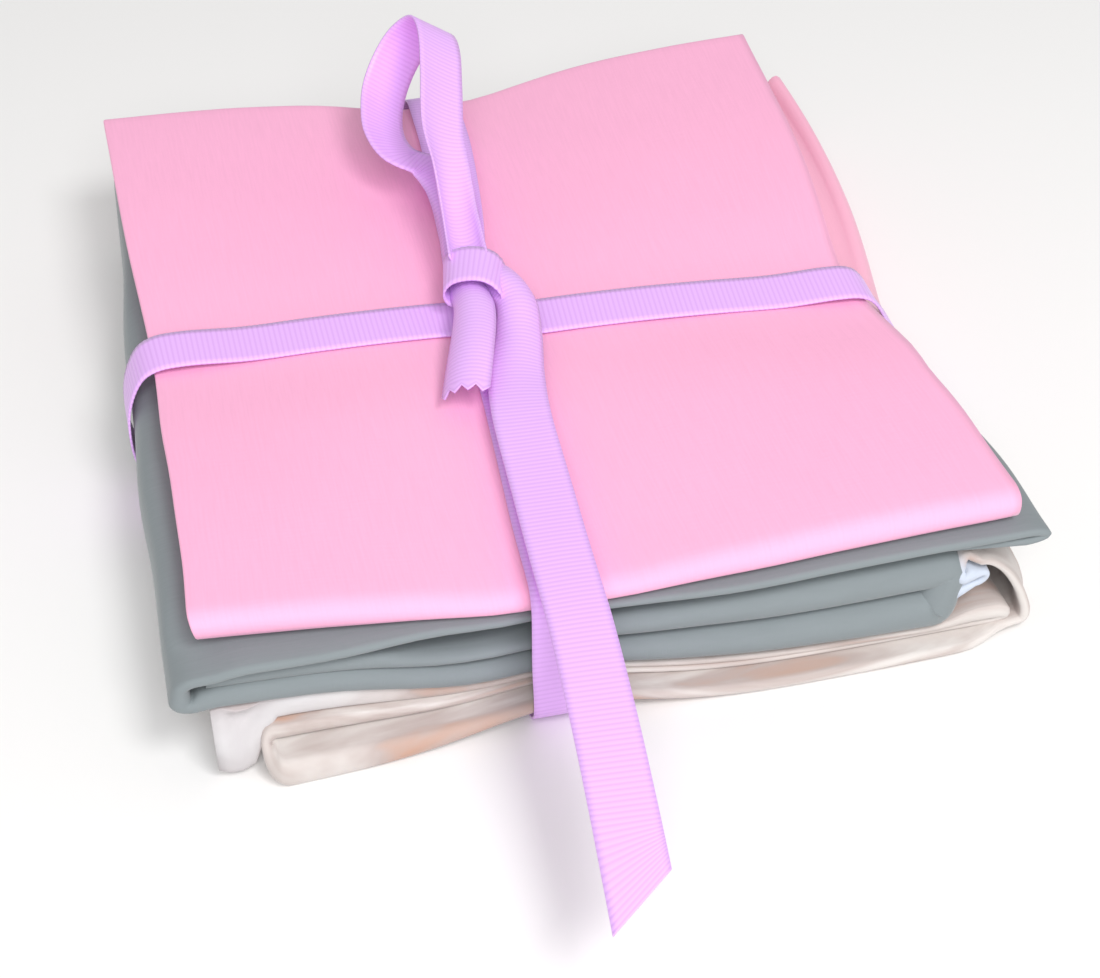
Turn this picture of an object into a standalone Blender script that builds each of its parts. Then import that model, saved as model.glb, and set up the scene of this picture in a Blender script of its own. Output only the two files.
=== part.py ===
"""Fat quarter bundle: a pink, a grey and a marbled fat quarter, each folded into a rectangle,
stacked with the pink one on top and tied both ways with one narrow grosgrain ribbon, whose
single loop and two free ends stand on the knot.

Lengths in the tables below are millimetres, and MM turns them into Blender's metres.
X runs to the right, Y to the back and Z up. The origin is on the surface that the bundle
lies on, under the middle of the stack."""

import math

import bmesh
import bpy
from mathutils import Vector

MM = 0.001

STACK_HEIGHT = 31.0
RIBBON_WIDTH = 10.0
RIBBON_THICK = 1.0
RIBBON_CLEARANCE = 0.6
UNDER_RIBBON = 0.1
CROSSING_GAP = 0.4

# The ribbon pulls the stack in: how deep the top sinks under it, how far the underside
# lifts at the edges, and how far each side is drawn in.
SINK_MIDDLE = 2.5
SINK_FRONT = 5.2
SINK_BACK = 4.7
SINK_LEFT = 2.2
SINK_RIGHT = 3.5
LIFT_FRONT = 4.0
LIFT_BACK = 3.0
LIFT_SIDES = 2.5
LIFT_SPREAD = 17.0
LIFT_RUN = 26.0
DRAWN_FRONT = 1.5
DRAWN_FRONT_BOTTOM = 2.5
DRAWN_BACK = 3.0
DRAWN_LEFT = 1.5
DRAWN_RIGHT = 4.5
DRAWN_SPREAD_SIDES = 30.0
DRAWN_SPREAD_ENDS = 26.0
HALF_WIDTH = 67.0
HALF_DEPTH = 76.0
UNMOVED_X = 30.0
UNMOVED_Y = 40.0

# The hollow beside the ribbon is a wide soft valley with a narrow one in it.
VALLEY_WIDE = 30.0
VALLEY_NARROW = 12.0
WIDE_SHARE = 0.6
VALLEY_FLOOR = 5.5

# Under the stack both runs of the ribbon lie straight, in grooves pressed into the cloth, and
# turn up at these distances from the middle.
UNDERSIDE_X = -10.0
UNDERSIDE_Y = -10.0
RIBBON_END_X = 70.0
RIBBON_END_Y = 80.0
GROOVE_DEPTH = 1.5
GROOVE_HALF = 6.6
GROOVE_FLANK = 3.0

# Where the ribbon lies on top: its place under the knot and how much it runs askew.
KNOT_X = -5.0
KNOT_LENGTH = 15.0
LENGTHWAYS_SLOPE = 0.06
LEFT_HALF_Y = -3.3
RIGHT_HALF_Y = -6.1
RIGHT_HALF_SLOPE = -0.085

# Where each folded cloth is divided, closer together near the ribbon.
ACROSS_X = (-58, -45, -33, -23, -15.5, -4.5, 3, 13, 27, 42, 56)
ACROSS_Y = (-66, -51, -37, -26, -17, -7, 2, 11, 25, 43, 60)
GROOVE_EDGES = (
    -GROOVE_HALF - GROOVE_FLANK, -GROOVE_HALF, GROOVE_HALF, GROOVE_HALF + GROOVE_FLANK,
)  # fmt: skip

CLEAR_OF_ENDS = 4.0
CLEAR_OF_GROOVE = 3.0

COLOURS = {
    "pink_cotton": (1.0, 0.52, 0.72),
    "grey_cotton": (0.30, 0.33, 0.32),
    "marbled_cotton": (0.83, 0.66, 0.56),
    "lilac_ribbon": (0.75, 0.45, 0.89),
}

# Each row is one layer of a folded cloth, in the order in which the cloth runs through it.
# "near" is the end at the lower coordinate of the fold direction and "far" the other one,
# each with its place at both ends of the fold. "from" and "to" are the edges across it.
LAYER_COLUMNS = (
    "z_near", "z_far",
    "near_a", "near_b", "far_a", "far_b",
    "from_near", "from_far", "to_near", "to_far",
)  # fmt: skip

# Folded front to back: near is the front, far the back, a the left side and b the right.
PINK_LAYERS = (
    (28.1, 28.1, -69.0, -71.0, 75.0, 77.0, -66.2, -67.0, 67.2, 67.4),
    (30.3, 30.3, -69.6, -72.6, 75.0, 77.0, -66.5, -67.4, 67.7, 67.8),
    (25.95, 25.95, -69.6, -72.6, 74.0, 76.2, -66.3, -67.0, 67.4, 67.4),
)
# Folded side to side: near is the left, far the right, a the front and b the back.
GREY_LAYERS = (
    (20.45, 20.45, -61.0, -60.0, 67.0, 60.0, -69.0, -76.5, 74.0, 72.5),
    (23.4, 23.4, -64.5, -60.0, 67.0, 60.0, -80.0, -77.6, 73.5, 73.0),
    (11.6, 10.4, -64.5, -60.0, 55.0, 53.0, -76.0, -80.0, 75.0, 73.0),
    (15.5, 15.0, -59.0, -58.0, 55.0, 53.0, -75.5, -79.0, 74.0, 72.0),
)
MARBLED_LAYERS = (
    (18.0, 18.0, 48.0, 50.0, 61.0, 71.5, -77.0, -77.5, 76.0, 75.5),
    (0.85, 0.85, -55.5, -57.0, 67.5, 70.7, -81.5, -79.0, 75.0, 77.0),
    (4.7, 3.7, -55.5, -57.0, 64.5, 64.0, -79.0, -78.5, 74.0, 75.0),
    (8.0, 6.4, -66.5, -64.0, 64.5, 64.0, -76.5, -78.0, 74.0, 75.0),
)
# How far the middle of an edge of the pink cloth lies beyond the line between its corners.
PINK_BOWS = {"near": -2.5, "far": -2.0, "to": -2.2}
STRAIGHT = {"near": 0.0, "far": 0.0, "to": 0.0}
PINK_THICK = 1.4
GREY_THICK = 2.3
MARBLED_THICK = 1.7

# How far each fold bulges past the ends of its two layers, how far its upper shoulder
# stands up at the back, and its steps.
TURN_COLUMNS = ("bulge", "shoulder", "steps")
PINK_TURNS = ((1.3, 0.0, 4), (2.6, 0.0, 6))
GREY_TURNS = ((4.6, 0.0, 5), (5.8, 0.0, 7), (2.2, 0.0, 4))
MARBLED_TURNS = ((6.0, 6.0, 8), (1.8, 0.0, 4), (1.6, 0.0, 4))

# Where the ribbon's runs are divided on top and underneath, in the order in which it passes.
LEFT_OF_KNOT_X = (-13.3, -25.0, -37.0, -49.0)
RIGHT_OF_KNOT_X = (47.0, 35.0, 23.0, 11.0, 0.4)
FRONT_OF_KNOT_Y = (-60.0, -46.0, -34.0, -22.0, -7.6)
UNDERSIDE_PLACES_X = (-50.0, -30.0, -19.0, -15.5, -10.0, -4.5, -1.0, 20.0, 40.0, 58.0)
UNDERSIDE_PLACES_Y = (52.0, 30.0, 10.0, -10.0, -30.0, -56.0)
# Where the crossways run passes over the lengthways one underneath.
CROSSING_X = (-15.5, -10.0, -4.5)

# Routes of the ribbon's stretches. Each row is a point on the middle of the ribbon and, where
# the ribbon is turned or gathered, the direction of its width, as long as the share of the
# full width that it keeps.
LEFT_SIDE = (
    (-60.0, -3.4, 30.2), (-65.9, -3.6, 29.9), (-68.9, -4.0, 27.4), (-70.1, -4.8, 21.5),
    (-70.1, -6.2, 14.0), (-68.7, -7.8, 8.0), (-65.6, -9.2, 3.2), (-62.0, -9.9, 1.0),
)  # fmt: skip
RIGHT_SIDE = (
    (56.5, -10.8, 29.1), (61.6, -11.1, 28.8), (64.8, -11.2, 26.8), (68.0, -11.1, 22.0),
    (71.6, -10.8, 16.0), (73.4, -10.5, 10.0), (72.5, -10.1, 4.5), (68.5, -10.0, 1.1),
)  # fmt: skip
FRONT_SIDE = (
    (-9.0, -70.0, 27.3), (-9.2, -74.6, 27.0), (-9.5, -77.7, 24.8), (-9.8, -79.0, 20.0),
    (-10.0, -79.8, 14.0), (-10.0, -80.5, 8.5), (-10.0, -80.2, 4.0), (-10.0, -77.2, 1.1),
    (-10.0, -71.0, 0.6),
)  # fmt: skip
BACK_SIDE = (
    (-1.2, 67.0, 28.0), (-1.1, 72.7, 27.8), (-1.3, 76.2, 25.4), (-2.2, 77.4, 20.0),
    (-4.0, 77.5, 13.5), (-6.5, 77.3, 8.0), (-8.2, 76.4, 3.6), (-9.4, 73.0, 1.2),
    (-10.0, 66.0, 0.6),
)  # fmt: skip
# Where the lengthways ribbon lies on top behind the knot, which gathers it to part of its
# width, and where it has its full width again.
BACK_OF_KNOT = ((-6.0, 12.6), (-5.0, 24.0), (-3.4, 38.0), (-1.7, 54.0))
GATHERED = 0.65
GATHER_START_Y = 14.0
GATHER_END_Y = 60.0
LOOP_ROUTE = (
    (-7.8, 12.6, 35.6, 0.65, 0.0, -0.06), (-7.3, 17.0, 38.6, 0.66, 0.03, -0.2),
    (-7.0, 24.0, 42.4, 0.7, 0.08, -0.41), (-5.0, 34.0, 46.8, 0.78, 0.1, -0.56),
    (-3.0, 44.0, 50.8, 0.8, 0.106, -0.587), (-2.2, 51.0, 53.7, 0.8, 0.106, -0.587),
    (-2.6, 55.6, 54.4, 0.8, 0.106, -0.587), (-4.4, 58.8, 52.4, 0.8, 0.106, -0.587),
    (-7.2, 60.4, 48.6, 0.8, 0.106, -0.587), (-10.2, 59.2, 44.4, 0.8, 0.106, -0.587),
    (-12.6, 55.6, 40.8, 0.8, 0.106, -0.587), (-13.7, 50.0, 38.6, 0.8, 0.106, -0.587),
    (-13.0, 43.5, 37.2, 0.8, 0.106, -0.587), (-10.8, 37.0, 36.4, 0.85, 0.1, -0.5),
    (-8.6, 30.0, 35.8, 0.8, 0.05, -0.35), (-7.6, 21.0, 34.4, 0.68, 0.0, -0.2),
    (-7.6, 12.8, 32.8, 0.65, 0.0, -0.06),
)  # fmt: skip
SHORT_TAIL_ROUTE = (
    (-8.6, -7.6, 34.2, 1.0, -0.1, 0.0), (-10.4, -14.0, 35.4, 1.0, -0.2, 0.0),
    (-12.8, -22.0, 35.9, 1.0, -0.25, 0.0), (-16.0, -32.5, 35.4, 1.0, -0.25, 0.0),
)  # fmt: skip
LONG_TAIL_ROUTE = (
    (-4.6, -8.0, 31.4, 1.0, 0.0, 0.1), (-5.0, -16.0, 32.2, 1.0, 0.0, 0.05),
    (-6.2, -27.0, 32.4, 1.0, 0.0, 0.0), (-7.2, -38.0, 32.3, 1.0, 0.0, 0.0),
    (-7.8, -54.0, 32.0, 1.0, 0.0, 0.0), (-8.6, -72.0, 31.8, 1.0, 0.0, 0.0),
    (-9.1, -88.0, 31.0, 1.0, 0.0, 0.0), (-10.1, -106.0, 28.8, 1.0, 0.0, 0.0),
    (-11.0, -120.0, 26.2, 1.0, 0.0, 0.0), (-12.1, -135.5, 22.8, 1.0, 0.0, 0.0),
)  # fmt: skip
LONG_TAIL_SLANT = 4.5
ROUTE_STEP = 3.0

# Sections of the knot from front to back.
KNOT_SECTIONS = (
    (-7.2, -12.6, -1.0, 28.4, 34.8),
    (-3.2, -13.6, -0.4, 27.6, 37.0),
    (3.0, -12.4, -0.8, 27.6, 37.6),
    (9.0, -11.2, -2.4, 28.0, 37.4),
    (12.2, -10.4, -4.4, 29.0, 36.2),
)


def mix(start, end, part):
    """The value this part of the way from start to end."""
    return start + (end - start) * part


def soft_step(value):
    """0 below 0, 1 above 1 and a smooth rise between."""
    value = min(max(value, 0.0), 1.0)
    return value * value * (3.0 - 2.0 * value)


def bump(distance, spread):
    """1 at no distance, falling softly to 0 past this spread."""
    return math.exp(-((distance / spread) ** 2))


def valley(distance):
    """The hollow that a taut ribbon presses: 1 under its width, soft slopes on each side."""
    beyond = max(abs(distance) - VALLEY_FLOOR, 0.0)
    return mix(bump(beyond, VALLEY_NARROW), bump(beyond, VALLEY_WIDE), WIDE_SHARE)


def groove(distance):
    """The sharper groove in the underside."""
    return 1.0 - soft_step((abs(distance) - GROOVE_HALF) / GROOVE_FLANK)


def lengthways_x(y):
    """Where the front-to-back ribbon lies on top of the stack."""
    return KNOT_X + LENGTHWAYS_SLOPE * y


def crossways_y(x):
    """Where the side-to-side ribbon lies on top. Its two halves leave the knot apart."""
    right = RIGHT_HALF_Y + RIGHT_HALF_SLOPE * x
    return mix(LEFT_HALF_Y, right, soft_step(1.0 + x / KNOT_LENGTH))


def sink(x, y):
    """How far the top is pressed down."""
    end = SINK_FRONT if y < 0 else SINK_BACK
    side = SINK_LEFT if x < 0 else SINK_RIGHT
    lengthways = mix(SINK_MIDDLE, end, min((y / HALF_DEPTH) ** 2, 1.0))
    crossways = mix(SINK_MIDDLE, side, min((x / HALF_WIDTH) ** 2, 1.0))
    return math.hypot(
        lengthways * valley(x - lengthways_x(y)), crossways * valley(y - crossways_y(x))
    )


def lift(x, y):
    """How far the underside is raised: in the grooves, and where the ribbon turns up."""
    end = LIFT_FRONT if y < 0 else LIFT_BACK
    grooves = GROOVE_DEPTH * (groove(x - UNDERSIDE_X) + groove(y - UNDERSIDE_Y))
    ends = bump(x - UNDERSIDE_X, LIFT_SPREAD) * soft_step(1.0 + (abs(y) - RIBBON_END_Y) / LIFT_RUN)
    sides = bump(y - UNDERSIDE_Y, LIFT_SPREAD) * soft_step(1.0 + (abs(x) - RIBBON_END_X) / LIFT_RUN)
    return max(grooves, end * ends + LIFT_SIDES * sides)


def fullness(x, y):
    """How much of its height the stack keeps."""
    return (STACK_HEIGHT - sink(x, y) - lift(x, y)) / STACK_HEIGHT


def pressed(x, y, z):
    """A point of the untied stack, moved to where the ribbon presses it."""
    side = DRAWN_LEFT if x < 0 else DRAWN_RIGHT
    end = mix(DRAWN_FRONT_BOTTOM, DRAWN_FRONT, z / STACK_HEIGHT) if y < 0 else DRAWN_BACK
    part_x = soft_step((abs(x) - UNMOVED_X) / (HALF_WIDTH - UNMOVED_X))
    part_y = soft_step((abs(y) - UNMOVED_Y) / (HALF_DEPTH - UNMOVED_Y))
    inward_x = side * part_x * bump(y - crossways_y(x), DRAWN_SPREAD_SIDES)
    inward_y = end * part_y * bump(x - lengthways_x(y), DRAWN_SPREAD_ENDS)
    return Vector(
        (
            x - math.copysign(inward_x, x),
            y - math.copysign(inward_y, y),
            lift(x, y) + z * fullness(x, y),
        )
    )


def top_of_stack(x, y):
    """The height of the pressed top."""
    return STACK_HEIGHT - sink(x, y)


def bow(part):
    """0 at both ends of an edge and 1 at its middle."""
    return 4.0 * part * (1.0 - part)


def layer_point(layer, bows, run, across, part_across):
    """A point of one layer: its place along the fold direction, across it, and its height.
    run is "near", "far" or a place between them, and across is "from", "to" or a place."""
    near = mix(layer["near_a"], layer["near_b"], part_across) + bows["near"] * bow(part_across)
    far = mix(layer["far_b"], layer["far_a"], (1.0 - part_across) ** 2)
    far += bows["far"] * bow(part_across)
    place = {"near": near, "far": far}.get(run, run)
    part = (place - near) / (far - near)
    start = mix(layer["from_near"], layer["from_far"], part)
    end = mix(layer["to_near"], layer["to_far"], part) + bows["to"] * bow(part)
    place_across = {"from": start, "to": end}.get(across, across)
    return place, place_across, mix(layer["z_near"], layer["z_far"], part)


def layer_runs(layer, places, forwards):
    """The places where one layer is divided, from the end that the cloth comes in at."""
    low = max(layer["near_a"], layer["near_b"]) + CLEAR_OF_ENDS
    high = min(layer["far_a"], layer["far_b"]) - CLEAR_OF_ENDS
    runs = ["near", *[place for place in places if low < place < high], "far"]
    return runs if forwards else runs[::-1]


def folded_rows(rows, bows, turns, places, forwards):
    """Functions of the place across, one for each row of points along the folded cloth."""
    layers = [dict(zip(LAYER_COLUMNS, row)) for row in rows]
    functions = []
    for number, layer in enumerate(layers):
        for run in layer_runs(layer, places, forwards):
            functions.append(straight_row(layer, bows, run))
        if number < len(turns):
            turn = dict(zip(TURN_COLUMNS, turns[number]))
            end, way = ("far", 1) if forwards else ("near", -1)
            for step in range(1, turn["steps"]):
                functions.append(turn_row(layer, layers[number + 1], bows, end, way, turn, step))
        forwards = not forwards
    return functions


def straight_row(layer, bows, run):
    """One row of points across a layer."""

    def row(across, part_across):
        return layer_point(layer, bows, run, across, part_across)

    return row


def turn_row(layer, next_layer, bows, end, way, turn, step):
    """One row of points across the rounded fold between two layers."""
    angle = math.pi * step / turn["steps"]

    def row(across, part_across):
        first = Vector(layer_point(layer, bows, end, across, part_across))
        second = Vector(layer_point(next_layer, bows, end, across, part_across))
        point = first.lerp(second, (1.0 - math.cos(angle)) / 2)
        point.x += way * turn["bulge"] * math.sin(angle)
        point.z += turn["shoulder"] * part_across**2 * max(math.sin(2.0 * angle), 0.0)
        return point

    return row


def new_object(name, mesh_work, material, collection):
    """A mesh object made from a bmesh."""
    mesh = bpy.data.meshes.new(name)
    mesh_work.to_mesh(mesh)
    mesh_work.free()
    mesh.materials.append(material)
    mesh.shade_smooth()
    made = bpy.data.objects.new(name, mesh)
    collection.objects.link(made)
    return made


def thicken(made, thickness, group=None):
    """Gives a sheet its thickness, half to each side."""
    solidify = made.modifiers.new("Thickness", "SOLIDIFY")
    solidify.thickness = thickness * MM
    solidify.offset = 0.0
    solidify.use_even_offset = True
    if group:
        solidify.vertex_group = group
    return made


def folded_cloth(
    name, rows, bows, turns, thickness, places, across_places, crossed, collection
):
    """One fat quarter, as a single sheet folded back and forth. crossed says that it is
    folded from front to back, so that the fold direction is Y."""
    functions = folded_rows(rows, bows, turns, places, forwards=True)
    low = sum(row[LAYER_COLUMNS.index("from_near")] for row in rows) / len(rows)
    high = sum(row[LAYER_COLUMNS.index("to_near")] for row in rows) / len(rows)
    parts = [0.0, *[(place - low) / (high - low) for place in across_places], 1.0]
    columns = ["from", *across_places, "to"]
    work = bmesh.new()
    bmesh.ops.create_grid(
        work, x_segments=len(functions) - 1, y_segments=len(parts) - 1, size=1.0
    )
    weights = {}
    for index, vertex in enumerate(work.verts):
        row = round((vertex.co.x + 1) / 2 * (len(functions) - 1))
        column = round((vertex.co.y + 1) / 2 * (len(parts) - 1))
        run, across, height = functions[row](columns[column], parts[column])
        x, y = (across, run) if crossed else (run, across)
        weights[index] = fullness(x, y)
        vertex.co = pressed(x, y, height) * MM
    made = new_object(name, work, cloth_material(name), collection)
    group = made.vertex_groups.new(name="fullness")
    for index, weight in weights.items():
        group.add([index], weight, "REPLACE")
    return thicken(made, thickness, group.name)


def smooth_route(points, step):
    """Rows read from the smooth curve through the given rows, about a step apart."""
    points = [Vector(point) for point in points]
    ends = [points[0] * 2 - points[1], *points, points[-1] * 2 - points[-2]]
    rows = []
    for before, start, end, after in zip(ends, ends[1:], ends[2:], ends[3:]):
        length = (end - start).to_3d().length
        count = max(1, round(length / step))
        for number in range(count):
            t = number / count
            rows.append(
                (
                    start * 2
                    + (end - before) * t
                    + (before * 2 - start * 5 + end * 4 - after) * t**2
                    + (start * 3 - before - end * 3 + after) * t**3
                )
                / 2
            )
    return [*rows, points[-1]]


def ribbon(name, places, widths, collection, slant=0.0):
    """A stretch of ribbon along its places, each with the direction of its width. A slanted
    last end reaches further on its left."""
    work = bmesh.new()
    edge = None
    for number, (place, width) in enumerate(zip(places, widths)):
        ahead = places[min(number + 1, len(places) - 1)]
        behind = places[max(number - 1, 0)]
        along = (ahead - behind).normalized()
        sideways = (width - along * width.dot(along)).normalized() * width.length
        sideways *= RIBBON_WIDTH / 2
        reach = along * slant if number == len(places) - 1 else Vector((0, 0, 0))
        left, right = (place - sideways + reach) * MM, (place + sideways - reach) * MM
        if edge is None:
            edge = work.edges.new((work.verts.new(left), work.verts.new(right)))
            last = edge.verts[0]
            continue
        made = bmesh.ops.extrude_edge_only(work, edges=[edge])["geom"]
        edge = next(item for item in made if isinstance(item, bmesh.types.BMEdge))
        new_left = next(
            vertex for vertex in edge.verts if any(last in e.verts for e in vertex.link_edges)
        )
        new_left.co, edge.other_vert(new_left).co = left, right
        last = new_left
    bmesh.ops.recalc_face_normals(work, faces=work.faces)
    return thicken(new_object(name, work, ribbon_material(), collection), RIBBON_THICK)


def top_run(places):
    """Points of the ribbon over the pressed top."""
    rise = RIBBON_CLEARANCE + RIBBON_THICK / 2
    return [(x, y, top_of_stack(x, y) + rise) for x, y in places]


def gather(place):
    """0 where the lengthways ribbon is gathered behind the knot, 1 where it lies flat."""
    on_top_behind = place.z > STACK_HEIGHT / 2 and place.y > 0
    part = (place.y - GATHER_START_Y) / (GATHER_END_Y - GATHER_START_Y)
    return soft_step(part) if on_top_behind else 1.0


def crossways_ribbon(collection):
    """The ribbon from the left of the knot round under the stack to the knot's right."""
    low = UNDER_RIBBON + RIBBON_THICK / 2
    over = low + RIBBON_THICK + CROSSING_GAP
    left_top = top_run([(x, crossways_y(x)) for x in LEFT_OF_KNOT_X])
    right_top = top_run([(x, crossways_y(x)) for x in RIGHT_OF_KNOT_X])
    underside = [(x, UNDERSIDE_Y, over if x in CROSSING_X else low) for x in UNDERSIDE_PLACES_X]
    points = [*left_top, *LEFT_SIDE, *underside, *RIGHT_SIDE[::-1], *right_top]
    places = smooth_route(points, ROUTE_STEP)
    return ribbon("ribbon_crossways", places, [Vector((0, 1, 0))] * len(places), collection)


def lengthways_ribbon(collection):
    """The ribbon from behind the knot round under the stack to the knot's front."""
    low = UNDER_RIBBON + RIBBON_THICK / 2
    back_top = top_run(BACK_OF_KNOT)
    front_top = top_run([(lengthways_x(y), y) for y in FRONT_OF_KNOT_Y])
    underside = [(UNDERSIDE_X, y, low) for y in UNDERSIDE_PLACES_Y]
    points = [*back_top, *BACK_SIDE, *underside, *FRONT_SIDE[::-1], *front_top]
    places = smooth_route(points, ROUTE_STEP)
    widths = [Vector((GATHERED, 0, 0)).lerp(Vector((1, 0, 0)), gather(place)) for place in places]
    return ribbon("ribbon_lengthways", places, widths, collection)


def free_ribbon(name, route, collection, slant=0.0):
    """A stretch that stands free, from a route whose rows hold a place and a width."""
    rows = smooth_route(route, ROUTE_STEP)
    places = [Vector(row[:3]) for row in rows]
    widths = [Vector(row[3:]) for row in rows]
    return ribbon(name, places, widths, collection, slant)


def knot(collection):
    """The wrapped knot, as one soft block through its sections."""
    work = bmesh.new()
    bmesh.ops.create_cube(work, size=2.0)
    lengthways = [e for e in work.edges if abs(e.verts[0].co.y - e.verts[1].co.y) > 1.0]
    bmesh.ops.subdivide_edges(
        work, edges=lengthways, cuts=len(KNOT_SECTIONS) - 2, use_grid_fill=True
    )
    for vertex in work.verts:
        row = round((vertex.co.y + 1) / 2 * (len(KNOT_SECTIONS) - 1))
        y, left, right, bottom, top = KNOT_SECTIONS[row]
        x = left if vertex.co.x < 0 else right
        z = bottom if vertex.co.z < 0 else top
        vertex.co = Vector((x, y, z)) * MM
    bmesh.ops.recalc_face_normals(work, faces=work.faces)
    made = new_object("ribbon_knot", work, ribbon_material(), collection)
    subdivision = made.modifiers.new("Soft form", "SUBSURF")
    subdivision.levels = subdivision.render_levels = 2
    return made


def cloth_material(name):
    """Plain-woven cotton, dull and a little fuzzy."""
    return new_material(name, COLOURS[name], roughness=0.85)


def ribbon_material():
    """Grosgrain ribbon, ribbed polyester with a low sheen."""
    found = bpy.data.materials.get("lilac_ribbon")
    return found or new_material("lilac_ribbon", COLOURS["lilac_ribbon"], roughness=0.5)


def new_material(name, colour, roughness):
    """A Principled BSDF of one colour."""
    material = bpy.data.materials.new(name)
    material.use_nodes = True
    shader = material.node_tree.nodes["Principled BSDF"]
    shader.inputs["Base Color"].default_value = (*colour, 1.0)
    shader.inputs["Roughness"].default_value = roughness
    shader.inputs["Metallic"].default_value = 0.0
    return material


def with_groove(places, middle):
    """The places where a cloth is divided, with the groove's edges among them."""
    edges = [middle + edge for edge in GROOVE_EDGES]
    before = [place for place in places if place < edges[0] - CLEAR_OF_GROOVE]
    after = [place for place in places if place > edges[-1] + CLEAR_OF_GROOVE]
    return [*before, *edges, *after]


def clear_scene():
    for old in list(bpy.data.objects):
        bpy.data.objects.remove(old, do_unlink=True)


def main():
    clear_scene()
    collection = bpy.data.collections.new("fat_quarter_bundle")
    bpy.context.scene.collection.children.link(collection)
    grooved_x = with_groove(ACROSS_X, UNDERSIDE_X)
    grooved_y = with_groove(ACROSS_Y, UNDERSIDE_Y)
    folded_cloth(
        "pink_cotton", PINK_LAYERS, PINK_BOWS, PINK_TURNS, PINK_THICK,
        ACROSS_Y, ACROSS_X, True, collection,
    )
    folded_cloth(
        "grey_cotton", GREY_LAYERS, STRAIGHT, GREY_TURNS, GREY_THICK,
        ACROSS_X, ACROSS_Y, False, collection,
    )
    folded_cloth(
        "marbled_cotton", MARBLED_LAYERS, STRAIGHT, MARBLED_TURNS, MARBLED_THICK,
        grooved_x, grooved_y, False, collection,
    )
    crossways_ribbon(collection)
    lengthways_ribbon(collection)
    knot(collection)
    free_ribbon("ribbon_loop", LOOP_ROUTE, collection)
    free_ribbon("ribbon_short_tail", SHORT_TAIL_ROUTE, collection)
    free_ribbon("ribbon_long_tail", LONG_TAIL_ROUTE, collection, LONG_TAIL_SLANT)


main()
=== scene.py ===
"""Fat quarter bundle: three fat quarters, folded flat and stacked, tied both ways with one
lilac grosgrain ribbon.

Each cloth is one thin sheet in all its plies: it is folded along the plies first, and that
strip is then folded into layers. The ribbon presses the stack in where it passes.

Lengths are millimetres in the tables, and MM turns them into Blender's metres. X runs to the
right, Y to the back and Z up."""

import math

import bmesh
import bpy
import numpy as np
from mathutils import Matrix, Vector, noise


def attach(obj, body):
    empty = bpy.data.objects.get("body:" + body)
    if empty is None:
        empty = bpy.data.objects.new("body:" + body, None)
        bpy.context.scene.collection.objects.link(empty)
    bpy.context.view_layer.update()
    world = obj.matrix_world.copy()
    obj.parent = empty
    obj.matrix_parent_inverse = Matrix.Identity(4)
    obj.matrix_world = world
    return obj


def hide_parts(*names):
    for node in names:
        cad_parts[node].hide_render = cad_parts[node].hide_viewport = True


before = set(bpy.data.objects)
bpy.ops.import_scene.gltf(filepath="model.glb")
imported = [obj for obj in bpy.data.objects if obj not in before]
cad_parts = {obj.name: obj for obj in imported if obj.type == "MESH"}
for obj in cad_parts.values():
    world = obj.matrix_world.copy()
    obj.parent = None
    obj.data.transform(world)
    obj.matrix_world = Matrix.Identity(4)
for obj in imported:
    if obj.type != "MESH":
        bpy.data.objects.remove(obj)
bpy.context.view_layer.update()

bl_info = {
    "name": "Fat quarter bundle",
    "version": (1, 0, 0),
    "blender": (4, 5, 0),
    "location": "3D View > Sidebar > Bundle",
    "description": "Folds three fat quarters, stacks them and ties them with ribbon",
    "category": "Object",
}

MM = 0.001
BODY = "root"

# The stack before it is tied.
STACK_HEIGHT = 31.0
HALF_WIDTH = 67.0
HALF_DEPTH = 76.0

# How deep the ribbon presses the top down at the knot and at each edge. The hollow has a flat
# floor under the ribbon, and its slopes are part steep and part gentle.
SINK_MIDDLE = 2.5
SINK_FRONT = 5.2
SINK_BACK = 4.7
SINK_LEFT = 2.2
SINK_RIGHT = 3.5
VALLEY_FLOOR = 5.5
VALLEY_NARROW = 12.0
VALLEY_WIDE = 30.0
WIDE_SHARE = 0.6

# How far the ribbon lifts the underside where it turns up, how far that spreads to each side
# of it, and how far in it runs.
LIFT_FRONT = 4.0
LIFT_BACK = 3.0
LIFT_SIDES = 2.5
LIFT_SPREAD = 17.0
LIFT_RUN = 26.0

# How far the ribbon draws each side in, how far that spreads along the side, and how much of
# the middle isn't moved.
DRAWN_FRONT = 1.5
DRAWN_FRONT_BOTTOM = 2.5
DRAWN_BACK = 3.0
DRAWN_LEFT = 1.5
DRAWN_RIGHT = 4.5
DRAWN_SPREAD_SIDES = 30.0
DRAWN_SPREAD_ENDS = 26.0
UNMOVED_X = 30.0
UNMOVED_Y = 40.0

# Under the stack the ribbon lies in grooves pressed into the cloth.
UNDERSIDE_X = -10.0
UNDERSIDE_Y = -10.0
RIBBON_END_X = 70.0
RIBBON_END_Y = 80.0
GROOVE_DEPTH = 1.5
GROOVE_HALF = 6.6
GROOVE_FLANK = 3.0

# Where the ribbon lies on top.
KNOT_X = -5.0
KNOT_LENGTH = 15.0
LENGTHWAYS_SLOPE = 0.06
LEFT_HALF_Y = -3.3
RIGHT_HALF_Y = -6.1
RIGHT_HALF_SLOPE = -0.085

# A row is one layer of a folded cloth, in the order in which the cloth runs through it.
# "near" is the end at the lower coordinate of the fold direction and "far" the other one,
# each with its place at both ends of the fold. "from" and "to" are the edges across it, and
# "pad" is half the height of the layer's plies.
LAYER_COLUMNS = (
    "z_near", "z_far", "pad_near", "pad_far",
    "near_a", "near_b", "far_a", "far_b",
    "from_near", "from_far", "to_near", "to_far",
)
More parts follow.
